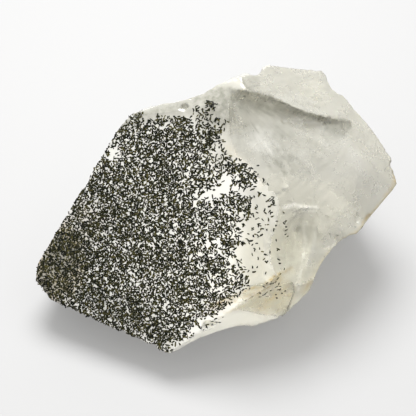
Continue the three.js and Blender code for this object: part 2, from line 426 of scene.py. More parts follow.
@dataclass(frozen=True)
class QuartzFinish:
    """Quartz, see-through by plain transmission, in the colours of one zone of the surface."""

    name: str
    transmission: float
    roughness: Limits  # the least and the most
    clear: Colour
    cloudy: Colour
    milk: Colour = (0.99, 0.98, 0.945)
    stain: Colour = (0.55, 0.42, 0.2)
    # the dark colour of the crazing and of the painted shade
    shade: Colour = (0.27, 0.27, 0.23)
    absorption: Colour = (0.92, 0.9, 0.78)
    density: float = 11.0  # of the absorption, for a metre
    bump: float = 0.2
    bump_depth: float = 0.0002  # metres

    def build(self, skin: Tree) -> bpy.types.Material:
        """The finish as a material.

        Args:
            skin: the node group that the quartz finishes share.

        Returns:
            The material.
        """
        material, tree, shader = new_material(self.name)
        nodes = tree.nodes
        set_sockets(shader, {"Transmission Weight": self.transmission, "IOR": QUARTZ_IOR})
        surface = nodes.new("ShaderNodeGroup")
        surface.node_tree = skin
        tints = (self.clear, self.cloudy, self.milk, self.stain, self.shade)
        set_sockets(surface, {name: (*tint, 1.0) for name, tint in zip(QuartzSkin.tints, tints)})
        least, most = self.roughness
        set_sockets(surface, {"Least Roughness": least, "Most Roughness": most})
        link(tree, surface.outputs["Colour"], shader.inputs["Base Color"])
        link(tree, surface.outputs["Roughness"], shader.inputs["Roughness"])

        bump = nodes.new("ShaderNodeBump")
        set_sockets(bump, {"Strength": self.bump, "Distance": self.bump_depth})
        link(tree, surface.outputs["Height"], bump.inputs["Height"])
        link(tree, bump.outputs["Normal"], shader.inputs["Normal"])

        tinting = nodes.new("ShaderNodeVolumeAbsorption")
        set_sockets(tinting, {"Color": (*self.absorption, 1.0), "Density": self.density})
        link(tree, tinting.outputs["Volume"], nodes["Material Output"].inputs["Volume"])
        return material


@dataclass(frozen=True)
class BladeFinish:
    """The dark mineral of the blades: near black, with green and brown in places."""

    name: str = "dark_mineral"
    roughness: float = 0.4
    ior: float = 1.6
    specular: float = 0.05

    def build(self) -> bpy.types.Material:
        """The finish as a material."""
        material, tree, shader = new_material(self.name)
        set_sockets(shader, {"Roughness": self.roughness, "IOR": self.ior})
        set_sockets(shader, {"Specular IOR Level": self.specular})
        link(tree, attribute(tree, "shade").outputs["Color"], shader.inputs["Base Color"])
        return material


@dataclass(frozen=True)
class Survey:
    """What is known of each point of the fine mesh before it is worn."""

    u: np.ndarray
    v: np.ndarray
    plane: np.ndarray  # the number of the flat face that it lies in, or -1
    under: np.ndarray  # whether it belongs to the underside
    edge: np.ndarray  # how far the nearest sharp edge is
    front: np.ndarray  # from 0 to 1, how far it faces the viewer
    blend: np.ndarray  # from 0 to 1, how far a flat face runs into the hollow here
    loose: np.ndarray  # whether it lies in no flat face, or in one that is blended

    @property
    def broken(self) -> np.ndarray:
        """Whether each point lies in no flat face."""
        return self.plane < 0


@dataclass(frozen=True)
class Relief:
    """The fine relief of the surface: ripples, streaks, ridges, lumps and chipped edges."""

    ripple_height: float = 0.03
    ripple_spacing: float = 1.7
    ripple_warp: Layer = Layer(1.2, 9.0, 3.0)
    rippled: tuple[Patch, ...] = (
        Patch(19.0, 12.5, 15.0, 9.0, 1.0),
        Patch(22.0, 0.0, 10.0, 8.0, 0.5),
    )
    hackles: Fan = Fan(0.11, 24.0, 7.0, 3.7)
    hackled: tuple[Patch, ...] = (
        Patch(9.5, 19.0, 11.0, 9.0, 1.0, -25.0),
        Patch(14.0, 9.0, 7.0, 7.0, 0.8),
        Patch(20.0, -8.0, 5.0, 11.0, 0.9),
    )
    ridges: tuple[Stroke, ...] = (
        Stroke(
            (
                (-0.9, -21.6), (3.1, -19.7), (7.0, -18.0), (10.7, -16.9), (13.4, -14.7),
                (16.0, -12.6),
            ),
            0.9,
            0.22,
        ),
        Stroke(
            (
                (4.4, -21.7), (7.5, -22.5), (10.8, -23.4), (12.8, -23.5), (14.5, -23.2),
                (17.0, -20.4),
            ),
            0.8,
            0.14,
        ),
        Stroke(((15.0, -4.2), (15.8, -2.0), (17.4, -0.7), (19.6, 0.0), (22.2, -0.2)), 0.8, 0.12),
        Stroke(((20.2, -2.5), (20.3, -7.5), (19.2, -12.5), (17.6, -17.5)), 0.7, 0.16),
        Stroke(((22.6, -4.0), (21.8, -8.5), (20.6, -12.0)), 0.6, 0.12),
        Stroke(((2.6, 13.0), (6.6, 9.9), (9.9, 5.1)), 1.2, 0.12),
    )
    ridge_breaks: Layer = Layer(0.6, 1.1, 7.0)
    lumps: tuple[Layer, ...] = (Layer(0.16, 4.5), Layer(0.02, 1.7, 5.0))
    grain: Layer = Layer(0.012, 0.7, 9.0)
    blend_calm: float = 0.7  # how much less relief there is where a face is blended
    edge_reach: float = 1.5  # nearer than this to a sharp edge the relief fades
    edge_least: float = 0.15
    chips: tuple[Layer, ...] = (Layer(1.0, 1.0, 2.0), Layer(0.6, 0.45, 4.0))
    chip_depth: float = 0.3
    chip_reach: float = 0.9  # how far from a sharp edge it is chipped
    foot: float = 0.3  # up to this height over the table the surface stays as it is

    def height(self, points: np.ndarray, survey: Survey) -> np.ndarray:
        """How far each point goes out of the surface.

        Args:
            points: the points, in metres.
            survey: what is known of them.

        Returns:
            The heights, in millimetres.
        """
        u, v, edge, loose = survey.u, survey.v, survey.edge, survey.loose
        reach = np.hypot(u - BREAK_START[0], v - BREAK_START[1])
        turns = (reach + self.ripple_warp.at(points)) / self.ripple_spacing
        ripples = self.ripple_height * np.sin(2 * math.pi * turns)
        height = ripples * painted(self.rippled, u, v)
        height += self.hackles.at(u, v) * painted(self.hackled, u, v)
        height += layered(self.lumps, points)
        height += self.grain.at(points)
        height *= loose - self.blend_calm * survey.blend * loose
        height *= np.clip(edge / self.edge_reach, self.edge_least, 1.0)
        whole = 1.0 - np.abs(self.ridge_breaks.at(points))
        height += painted(self.ridges, u, v) * survey.front * whole
        chips = np.maximum(0.0, layered(self.chips, points))
        height -= self.chip_depth * chips * np.clip(1.0 - edge / self.chip_reach, 0.0, 1.0)
        height[points[:, 2] < self.foot * MM] = 0.0
        return height


@dataclass(frozen=True)
class Stains:
    """Where the quartz is rusty, where it is milky, and where it is darkened by crazing and by
    painted shade.
    """

    rust: tuple[Patch | Stroke, ...] = (
        Patch(-36.0, -12.0, 8.0, 10.0, 1.4),
        Patch(-29.5, -3.0, 5.0, 6.0, 0.4),
        Patch(12.5, -19.5, 6.0, 4.0, 0.7, 30.0),
        Stroke(
            (
                (-0.9, -21.3), (3.1, -19.4), (7.0, -17.7), (10.7, -16.6), (13.4, -14.5),
                (16.5, -13.0),
            ),
            0.5,
            1.0,
        ),
        Stroke(((1.9, -22.8), (4.4, -22.0), (7.0, -20.9)), 0.5, 0.6),
        Stroke(
            ((-0.9, -21.9), (4.0, -20.2), (8.8, -18.7), (12.5, -15.8), (16.0, -13.5)), 1.3, 0.75
        ),
        Stroke(((35.8, 0.2), (32.0, -4.6), (28.4, -7.2)), 1.0, 0.5),
        Stroke(((25.0, -9.6), (22.0, -14.0), (19.2, -18.4)), 1.2, 0.65),
        Stroke(((2.6, 13.4), (6.6, 10.2), (9.9, 5.4)), 1.6, 0.25),
    )
    rim: Stroke = Stroke(
        (
            (39.3, 10.6), (39.9, 7.6), (39.2, 4.8), (37.4, 2.4), (35.8, 0.2), (33.6, -2.6),
            (31.4, -5.2), (28.0, -7.4),
        ),
        1.1,
        1.0,
    )
    milk: tuple[Patch | Stroke, ...] = (
        Stroke(((19.1, -2.9), (19.6, -6.8), (18.9, -11.7), (18.0, -17.8)), 0.5, 0.55),
        Stroke(((22.0, -4.2), (21.4, -8.6), (20.2, -12.2)), 0.4, 0.45),
        Stroke(((16.6, -3.4), (17.4, -7.4), (16.8, -11.4)), 0.4, 0.35),
        Stroke(((15.2, 0.4), (17.2, 0.8), (19.4, 0.2), (22.2, 0.2)), 0.7, 0.9),
        Stroke(((-8.0, -30.6), (-1.0, -26.0), (5.0, -24.0), (12.0, -24.4)), 2.6, 1.6),
        Stroke(((-5.0, -26.6), (1.0, -22.6), (6.0, -20.2)), 1.6, 0.9),
        Stroke(((1.0, -22.2), (4.4, -20.8), (8.0, -19.0), (11.5, -17.2)), 1.0, 1.0),
        Patch(20.0, 27.0, 13.0, 6.5, 0.1, -12.0),
        Patch(10.0, 15.0, 5.0, 3.0, 0.5, -30.0),
        Patch(33.0, 13.0, 5.0, 8.0, 0.2, 35.0),
    )
    # Crazing, and painted shade: darker patches inside the right tip of the hollow, over its upper
    # part, on the tongue and along the top of the grown face. Other patches darken the quartz at
    # the left tip and between the blades.
    crazing_and_painted_shade: tuple[Patch | Stroke | Band, ...] = (
        # painted shade under the ledge of the hollow, darkest at the ledge and fading downwards
        Band(
            (
                (3.0, 26.1, 2.0), (5.2, 25.9, 5.0), (7.3, 25.7, 5.6), (10.1, 25.6, 6.2),
                (12.0, 25.0, 5.8), (13.8, 24.0, 4.8), (15.8, 23.1, 3.0), (17.7, 21.9, 2.0),
                (19.5, 21.1, 1.6), (21.8, 20.7, 2.0), (24.4, 19.8, 3.2), (27.1, 19.4, 4.4),
                (29.9, 19.3, 2.0),
            ),
            0.95,
        ),
        Patch(26.6, 17.2, 4.0, 2.8, 0.7, 20.0),
        Patch(13.0, 17.0, 6.0, 2.0, 0.25, -15.0),
        Stroke(((12.6, 11.0), (14.2, 9.6), (15.4, 7.6)), 0.6, 0.4),
        Stroke(((14.4, 11.6), (15.8, 10.4), (16.8, 8.6)), 0.5, 0.4),
        Stroke(((16.2, 12.0), (17.6, 10.9), (18.4, 9.6)), 0.5, 0.45),
        Stroke(((11.8, 9.4), (13.2, 8.0), (14.4, 6.2)), 0.5, 0.45),
        Stroke(((18.2, 12.2), (19.6, 11.4), (20.4, 10.4)), 0.5, 0.35),
        Stroke(((-22.0, 18.9), (-14.5, 21.0), (-6.8, 23.0), (-2.0, 25.3), (3.0, 25.2)), 3.0, 0.9),
        Patch(1.0, 22.5, 5.5, 4.5, 0.5, 40.0),
        Patch(6.0, 19.0, 5.0, 4.0, 0.3, -30.0),
        Patch(16.0, 9.0, 6.0, 3.6, 0.3, -35.0),
        Patch(14.5, 3.5, 3.0, 3.0, 0.25),
        Patch(8.4, 27.3, 1.6, 2.2, 0.35),
        Patch(20.0, 22.9, 4.0, 2.6, 0.12),
        Patch(10.4, -11.0, 4.0, 8.0, 0.3, -10.0),
        Patch(18.5, -10.0, 5.5, 9.5, 0.65, -6.0),
        Patch(-36.0, -12.5, 6.0, 8.0, 0.9),
        Patch(-33.0, -9.5, 3.5, 5.0, 0.9),
        Patch(-31.0, -8.0, 4.0, 6.0, 0.5),
        Patch(-22.0, -3.0, 10.0, 9.0, 0.12),
        Patch(-20.0, -23.0, 15.0, 4.0, 0.45, -28.0),
        Patch(15.0, 13.5, 13.0, 6.0, 0.45, -10.0),
        Patch(20.0, 26.0, 14.0, 6.0, 0.25, -12.0),
        Patch(0.5, 19.5, 5.0, 6.0, 0.45, -20.0),
        Patch(23.0, -2.0, 8.0, 4.0, 0.1, -20.0),
        Stroke(((5.3, 29.4), (6.2, 27.6), (7.4, 26.2)), 0.5, 0.8),
        Stroke(((-0.5, 24.6), (3.2, 26.1), (6.5, 25.9)), 0.7, 0.6),
    )
    side_from: float = 0.55  # how far to the right a broken surface looks, to be rusty
    side_over: float = 0.25
    side_rust: float = 0.14
    mottle_base: float = 0.75
    mottle: Layer = Layer(0.7, 1.9, 6.0)
    crazing_base: float = 0.95
    crazing: Fan = Fan(1.1, 22.0, 6.0)
    crazing_grain: Layer = Layer(0.4, 1.2, 8.0)
    flat_share: float = 0.25  # how much of the crazing shows on a flat face
    milk_edge: float = 0.45  # how milky the outline of the blades is
    milk_reach: float = 4.0  # how far the milk goes from none to full there

    def masks(
        self, points: np.ndarray, normals: np.ndarray, survey: Survey, depth: np.ndarray
    ) -> dict[str, np.ndarray]:
        """How strong each stain, the crazing and the painted shade are at each point.

        Args:
            points: the points, in metres.
            normals: the directions out of the surface there.
            survey: what is known of the points.
            depth: how far inside the outline of the blades they lie.

        Returns:
            The strengths, by the names of the attributes.
        """
        u, v, front = survey.u, survey.v, survey.front
        side = np.clip((normals[:, 0] - self.side_from) / self.side_over, 0.0, 1.0) * survey.loose
        rust = painted(self.rust, u, v) * front + self.rim.at(u, v) + self.side_rust * side
        crazed = self.crazing_base + self.crazing.at(u, v) + self.crazing_grain.at(points)
        calmer = 1.0 - self.flat_share + self.flat_share * crazed
        crazing_and_painted_shade = painted(self.crazing_and_painted_shade, u, v) * front * np.where(survey.broken, crazed, calmer)
        milk = np.clip(self.milk_edge + depth / self.milk_reach, 0.0, 1.0)
        milk = milk + painted(self.milk, u, v)
        return {
            "stain": rust * (self.mottle_base + self.mottle.at(points)),
            "crazing_and_painted_shade": crazing_and_painted_shade,
            "milk": milk * front,
        }


@dataclass(frozen=True)
class BladeCloud:
    """Where the blades show in the picture plane."""

    outline: tuple[Place, ...] = (
        (-21.5, 17.3), (-19.1, 20.0), (-15.4, 19.2), (-9.7, 19.2), (-6.6, 19.4), (-4.2, 18.6),
        (-1.6, 18.2), (0.3, 17.0), (1.2, 15.2), (-1.8, 14.0), (0.6, 13.0), (-1.6, 11.6),
        (-0.4, 9.9), (2.2, 10.3), (4.6, 10.9), (6.8, 9.2), (9.0, 5.9), (7.2, 4.9), (6.2, 3.7),
        (7.0, 1.3), (6.6, -0.7), (5.3, -2.9), (5.6, -5.7), (4.6, -9.0), (4.2, -11.7), (5.8, -14.5),
        (5.6, -16.9), (4.2, -18.9), (2.2, -20.9), (0.0, -22.7), (-2.8, -24.7), (-4.8, -26.1),
        (-8.8, -28.5), (-13.5, -32.0), (-50.0, -31.0), (-50.0, 8.0), (-30.0, 8.0),
    )
    border: float = 3.6  # how wide the thinning at the outline is
    ragged: tuple[Layer, ...] = (Layer(1.9, 2.6, 1.0), Layer(0.8, 0.9, 2.0))
    patches: tuple[Patch | Stroke, ...] = (
        Patch(-22.4, 12.6, 3.4, 2.6, -1.1, 50.0),
        Stroke(((-4.2, 3.0), (-1.2, 3.3), (1.2, 4.4), (2.6, 6.6)), 1.8, -0.85),
        Stroke(((1.4, 4.4), (4.4, 4.7), (6.6, 3.6)), 1.1, -0.7),
        Patch(4.4, 1.8, 1.9, 1.9, 0.3),
        Patch(4.6, 8.8, 3.4, 2.2, 0.6),
        Patch(2.0, -7.9, 1.6, 1.6, 0.5),
        Patch(-12.0, 13.0, 10.0, 5.0, 0.25),
        Patch(-27.0, -8.0, 5.0, 6.0, 0.3),
        Patch(-30.0, -10.0, 10.0, 9.0, 0.3),
        Patch(-22.0, -4.0, 9.0, 8.0, 0.42),
        Patch(-17.0, -23.5, 13.0, 4.0, 0.5, -25.0),
        Patch(0.0, -6.0, 7.0, 14.0, -0.2),
        Stroke(((-5.2, -26.6), (3.4, -21.8), (7.2, -18.9)), 1.7, -0.95),
    )
    strays: tuple[Patch | Stroke, ...] = (
        Patch(9.5, -1.5, 5.5, 8.0, 0.05),
        Patch(-3.2, 20.4, 3.0, 2.2, 0.34, -30.0),
        Patch(-1.2, 22.8, 1.6, 1.2, 0.5),
        Patch(1.0, 18.6, 1.8, 2.4, 0.22, 20.0),
        Patch(12.0, -18.4, 4.4, 2.6, 0.035, 30.0),
        Stroke(((6.5, -19.6), (10.2, -17.6), (12.4, -16.2), (14.8, -13.6)), 1.1, 0.06),
        Stroke(((15.4, -3.0), (15.3, -6.2)), 0.5, 0.22),
        Stroke(((13.6, -9.0), (13.8, -12.0)), 0.5, 0.2),
        Patch(12.0, 1.6, 1.0, 1.4, 0.3),
    )
    thickness: float = 0.98  # the chance of a blade inside the outline, before its lumps
    lumps: tuple[Layer, ...] = (Layer(0.4, 5.0, 9.0), Layer(0.75, 1.3, 5.0))
    slope_start: float = -8.0  # to the left of this the blades lie thicker
    slope_length: float = 45.0
    slope_limits: Limits = (-0.34, 0.25)
    sparse: float = 0.02  # the chance of a blade outside the outline
    sparse_right: float = 12.0
    sparse_height: Limits = (-16.0, 6.0)
    front_from: float = 0.12  # how far a face looks at the viewer, to be seen
    behind: float = 0.5  # the greatest chance on the faces that aren't seen
    behind_base: float = 0.6
    behind_lumps: Layer = Layer(0.9, 6.0)
    behind_start: float = -16.0
    behind_length: float = 14.0
    foot: float = 0.8  # no blade lies lower over the table

    def density(self, points: np.ndarray, normals: np.ndarray) -> np.ndarray:
        """The chance that a blade lies at each place of the surface, from 0 to 1.

        Args:
            points: places on the surface, in metres.
            normals: the directions out of the surface there.

        Returns:
            The chances.
        """
        u, v = VIEWER.seen(points)
        flat = np.column_stack((u, v, np.zeros_like(u)))
        depth = layered(self.ragged, flat, self.depth(u, v), 1.0)
        inside = np.clip(0.5 + depth / self.border, 0.0, 1.0)
        lumps = layered(self.lumps, flat, self.thickness, 1.0)
        lumps += np.clip(-(u - self.slope_start) / self.slope_length, *self.slope_limits)
        seen = inside * (lumps + painted(self.patches, u, v))
        seen = np.maximum(seen, painted(self.strays, u, v))
        low, high = self.sparse_height
        seen = np.maximum(seen, self.sparse * (u < self.sparse_right) * (v < high) * (v > low))
        behind = self.behind * (self.behind_base + self.behind_lumps.at(points))
        behind = behind * (self.behind_start - u) / self.behind_length
        chance = np.where(
            VIEWER.facing(normals) > self.front_from, seen, np.minimum(behind, self.behind)
        )
        return chance * (points[:, 2] > self.foot * MM)

    def depth(self, u: np.ndarray, v: np.ndarray) -> np.ndarray:
        """How far inside the outline each place lies. Outside it is below zero."""
        corners = self.outline + self.outline[:1]
        inside = np.zeros(np.shape(u), bool)
        for (au, av), (bu, bv) in zip(corners, corners[1:]):
            crosses = (av > v) != (bv > v)
            rise = bv - av if bv != av else LEVEL_RISE
            at = au + (v - av) * (bu - au) / rise
            inside ^= crosses & (u < at)
        return distance_to_line(corners, u, v) * np.where(inside, 1.0, -1.0)


@dataclass
class CrystalBody:
    """The quartz itself: the solid's own form, made finer and worn."""

    cells: int = 8  # the fine mesh halves the crystal's box this many times
    cell_share: float = 0.79
    flat_area: float = 60.0  # a plane of the solid over this area, in mm2, is a flat face
    normal_steps: int = 100  # how finely the directions of its faces are told apart
    offset_steps: int = 5  # how finely their places are told apart, in steps to a millimetre
    sharp: float = 28.0  # degrees between the solid's faces at an edge that stays sharp
    edge_step: float = 0.4  # between the points that stand for a sharp edge
    underneath: float = -0.9  # how far down a face of the solid looks, to be of the underside
    front_from: float = 0.02  # how far a surface looks at the viewer, to be of the front
    front_over: float = 0.15
    blend_least: float = 0.35  # from which a flat face counts as blended
    blend_gain: float = 1.6
    pace: float = 0.5  # how far a point goes in a round of smoothing
    edge_kept: float = 0.5  # nearer than this to a sharp edge nothing is smoothed at first
    smoothing: int = 16  # rounds over every broken surface
    softening: int = 220  # rounds where the surface is blended or softened
    rounding: int = 20  # rounds where a corner is rounded
    softened: tuple[Stroke | Patch, ...] = (
        Stroke(
            (
                (26.5, 15.6), (24.0, 14.2), (20.7, 11.9), (17.8, 9.5), (16.1, 5.9), (15.2, 1.0),
            ),
            5.0,
            1.6,
        ),
        Stroke(((15.2, 2.6), (18.5, 1.3), (22.0, 0.2), (26.0, -1.4)), 4.0, 1.6),
        Patch(31.6, -1.0, 2.6, 2.6, 2.0),
    )
    rounded: tuple[Patch, ...] = (Patch(40.2, 8.2, 2.6, 2.6, 1.0),)
    blended: Stroke = Stroke(
        (
            (2.6, 24.0), (2.6, 20.0), (3.1, 15.2), (4.6, 11.7), (9.0, 7.3), (10.8, 5.5),
            (13.2, 3.7), (13.9, 0.2), (13.6, -4.6), (13.0, -11.0), (13.0, -14.0),
        ),
        4.0,
        1.0,
    )
    relief: Relief = Relief()
    stains: Stains = Stains()
    cloud: BladeCloud = BladeCloud()
    name: str = "quartz_crystal_dressed"
    grown: QuartzFinish = QuartzFinish(
        "quartz_grown", 0.55, (0.06, 0.16), (0.66, 0.652, 0.607), (0.57, 0.562, 0.51)
    )
    broken: QuartzFinish = QuartzFinish(
        "quartz_broken", 0.7, (0.2, 0.36), (0.6, 0.592, 0.545), (0.5, 0.492, 0.438)
    )
    underside: QuartzFinish = QuartzFinish(
        "quartz_underside", 0.15, (0.35, 0.55), (0.97, 0.962, 0.925), (0.93, 0.92, 0.875), bump=0.5
    )
    planes: list[tuple[Vector, float]] = field(default_factory=list)

    def build(self) -> bpy.types.Object:
        """Builds and dresses the crystal.

        Returns:
            The finished object, which stands for the solid.
        """
        solid = bmesh.new()
        solid.from_mesh(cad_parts[NODE].data)
        bmesh.ops.remove_doubles(solid, verts=solid.verts, dist=WELD)
        bmesh.ops.triangulate(solid, faces=solid.faces)
        solid.normal_update()
        solid.faces.ensure_lookup_table()
        plane_of = self.find_planes(solid)
        surface = BVHTree.FromBMesh(solid)
        edges = self.sharp_edges(solid)
        obj = self.remeshed(solid)
        solid.free()
        self.settle(obj.data, surface, plane_of, edges)
        skin = QuartzSkin().build()
        for finish in (self.grown, self.broken, self.underside):  # in the order of Zone
            obj.data.materials.append(finish.build(skin))
        obj.data.shade_smooth()
        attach(obj, BODY)
        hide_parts(NODE)
        return obj

    def find_planes(self, solid: bmesh.types.BMesh) -> dict[int, int]:
        """Finds the flat faces of the solid.

        Args:
            solid: the solid's triangles.

        Returns:
            For each triangle that lies in a flat face, the number of its plane.
        """
        groups: dict[tuple[int, ...], list[bmesh.types.BMFace]] = {}
        for face in solid.faces:
            offset = face.normal.dot(face.calc_center_median()) / MM
            turns = (round(x * self.normal_steps) for x in face.normal)
            key = (*turns, round(offset * self.offset_steps))
            groups.setdefault(key, []).append(face)
        plane_of: dict[int, int] = {}
        for faces in groups.values():
            areas = [face.calc_area() for face in faces]
            if sum(areas) / MM**2 < self.flat_area:
                continue
            weighed = list(zip(faces, areas))
            normal = sum((face.normal * area for face, area in weighed), Vector()).normalized()
            centre = sum((face.calc_center_median() * area for face, area in weighed), Vector())
            for face in faces:
                plane_of[face.index] = len(self.planes)
            self.planes.append((normal, normal.dot(centre / sum(areas))))
        log.info("%d flat faces", len(self.planes))
        return plane_of

    def sharp_edges(self, solid: bmesh.types.BMesh) -> KDTree:
        """Points along the solid's sharp edges.

        Args:
            solid: the solid's triangles.

        Returns:
            The points, ready to be searched.
        """
        points: list[Vector] = []
        limit = math.radians(self.sharp)
        for edge in solid.edges:
            if len(edge.link_faces) == 2 and edge.calc_face_angle() > limit:
                a, b = (vert.co for vert in edge.verts)
                steps = max(1, round((a - b).length / (self.edge_step * MM)))
                points += [a.lerp(b, i / steps) for i in range(steps + 1)]
        tree = KDTree(len(points))
        for i, point in enumerate(points):
            tree.insert(point, i)
        tree.balance()
        return tree

    def remeshed(self, solid: bmesh.types.BMesh) -> bpy.types.Object:
        """A copy of the solid with an even fine mesh."""
        mesh = bpy.data.meshes.new(self.name)
        solid.to_mesh(mesh)
        obj = bpy.data.objects.new(self.name, mesh)
        bpy.context.scene.collection.objects.link(obj)
        remesh = obj.modifiers.new("even_mesh", "REMESH")
        remesh.mode = "SHARP"
        remesh.octree_depth = self.cells
        remesh.scale = self.cell_share
        remesh.sharpness = 1.0
        remesh.use_remove_disconnected = True
        depsgraph = bpy.context.evaluated_depsgraph_get()
        even = bpy.data.meshes.new_from_object(obj.evaluated_get(depsgraph))
        obj.modifiers.clear()
        obj.data = even
        even.name = self.name
        bpy.data.meshes.remove(mesh)
        return obj

    def settle(
        self, mesh: bpy.types.Mesh, surface: BVHTree, plane_of: dict[int, int], edges: KDTree
    ) -> None:
        """Flattens the grown faces, smooths the broken ones, wears and stains the surface, and
        paints shade on it.

        Args:
            mesh: the fine mesh.
            surface: the solid's triangles.
            plane_of: the flat face that each triangle lies in.
            edges: points along the solid's sharp edges.
        """
        survey = self.surveyed(mesh, surface, plane_of, edges)
        points = self.smoothed_out(mesh, survey)
        set_points(mesh, points)
        points += normals_of(mesh) * self.relief.height(points, survey)[:, None] * MM
        set_points(mesh, points)
        depth = self.cloud.depth(survey.u, survey.v)
        masks = self.stains.masks(points, normals_of(mesh), survey, depth)
        for name, values in masks.items():
            set_attribute(mesh, name, np.clip(values, 0.0, 1.0))
        self.assign_zones(mesh, survey.broken, survey.under)

    def surveyed(
        self, mesh: bpy.types.Mesh, surface: BVHTree, plane_of: dict[int, int], edges: KDTree
    ) -> Survey:
        """Finds out what each point of the fine mesh belongs to.

        Args:
            mesh: the fine mesh.
            surface: the solid's triangles.
            plane_of: the flat face that each triangle lies in.
            edges: points along the solid's sharp edges.

        Returns:
            What is known of the points.
        """
        points = points_of(mesh)
        rows = [Vector(row) for row in points.tolist()]
        nearest = [surface.find_nearest(row) for row in rows]
        plane = np.array([plane_of.get(hit[2], -1) for hit in nearest])
        under = np.array([hit[1].z < self.underneath for hit in nearest])
        edge = np.array([edges.find(row)[2] for row in rows]) / MM
        u, v = VIEWER.seen(points)
        facing = VIEWER.facing(normals_of(mesh))
        front = np.clip((facing - self.front_from) / self.front_over, 0.0, 1.0)
        blend = self.blended.at(u, v) * front
        loose = (plane < 0) | (blend > self.blend_least)
        return Survey(u, v, plane, under, edge, front, blend, loose)

    def smoothed_out(self, mesh: bpy.types.Mesh, survey: Survey) -> np.ndarray:
        """The points with the broken surfaces smoothed and the flat faces made truly flat.

        Args:
            mesh: the fine mesh.
            survey: what is known of its points.

        Returns:
            The points, in metres.
        """
        u, v, loose = survey.u, survey.v, survey.loose
        soft = np.clip(painted(self.softened, u, v), 0.0, 1.0) * survey.front
        points = points_of(mesh)
        for share, rounds in (
            (survey.edge > self.edge_kept, self.smoothing),
            (np.clip(self.blend_gain * survey.blend, 0.0, 1.0), self.softening),
            (painted(self.rounded, u, v), self.rounding),
            (soft, self.softening),
        ):
            points = smoothed(mesh, points, self.pace * share * loose, rounds)
        for number, (normal, offset) in enumerate(self.planes):
            here = (survey.plane == number) & ~loose
            direction = np.array(normal)
            points[here] -= np.outer(points[here] @ direction - offset, direction)
        return points

    def assign_zones(self, mesh: bpy.types.Mesh, broken: np.ndarray, under: np.ndarray) -> None:
        """Gives each face its zone's material."""
        for face in mesh.polygons:
            zone = Zone.BROKEN if all(broken[i] for i in face.vertices) else Zone.GROWN
            if all(under[i] for i in face.vertices):
                zone = Zone.UNDERSIDE
            face.material_index = zone.value


def points_of(mesh: bpy.types.Mesh) -> np.ndarray:
    """A mesh's points, one row each."""
    flat = np.empty(len(mesh.vertices) * 3, np.float32)
    mesh.vertices.foreach_get("co", flat)
    return flat.reshape(-1, 3).astype(np.float64)


def set_points(mesh: bpy.types.Mesh, points: np.ndarray) -> None:
    """Moves a mesh's points."""
    mesh.vertices.foreach_set("co", points.astype(np.float32).ravel())
    mesh.update()


def normals_of(mesh: bpy.types.Mesh) -> np.ndarray:
    """The direction out of the surface at each of a mesh's points."""
    flat = np.empty(len(mesh.vertices) * 3, np.float32)
    mesh.vertex_normals.foreach_get("vector", flat)
    return flat.reshape(-1, 3).astype(np.float64)


def set_attribute(mesh: bpy.types.Mesh, name: str, values: np.ndarray) -> None:
    """Stores one number at each of a mesh's points."""
    mesh.attributes.new(name, "FLOAT", "POINT").data.foreach_set("value", values.astype(np.float32))


def smoothed(
    mesh: bpy.types.Mesh, points: np.ndarray, weights: np.ndarray, rounds: int
) -> np.ndarray:
    """Moves points towards the middle of their neighbours.

    Args:
        mesh: the mesh, for which points are neighbours.
        points: the points, one row each.
        weights: how far each point goes in a round, from 0 to 1.
        rounds: how many times.

    Returns:
        The moved points.
    """
    edges = np.empty(len(mesh.edges) * 2, np.int64)
    mesh.edges.foreach_get("vertices", edges)
    ends = edges.reshape(-1, 2)
    ends = ends[(weights[ends[:, 0]] > 0) | (weights[ends[:, 1]] > 0)]
    a, b = np.concatenate((ends[:, 0], ends[:, 1])), np.concatenate((ends[:, 1], ends[:, 0]))
    count = np.maximum(np.bincount(a, minlength=len(points)), 1)
    moved = points.copy()
    for _ in range(rounds):
        sums = [np.bincount(a, moved[b, i], len(points)) for i in range(3)]
        middle = np.column_stack([total / count for total in sums])
        moved += weights[:, None] * (middle - moved)
    return moved


def surface_of(mesh: bpy.types.Mesh) -> BVHTree:
    """A mesh's surface, ready to be searched."""
    return BVHTree.FromPolygons([v.co for v in mesh.vertices], [p.vertices for p in mesh.polygons])


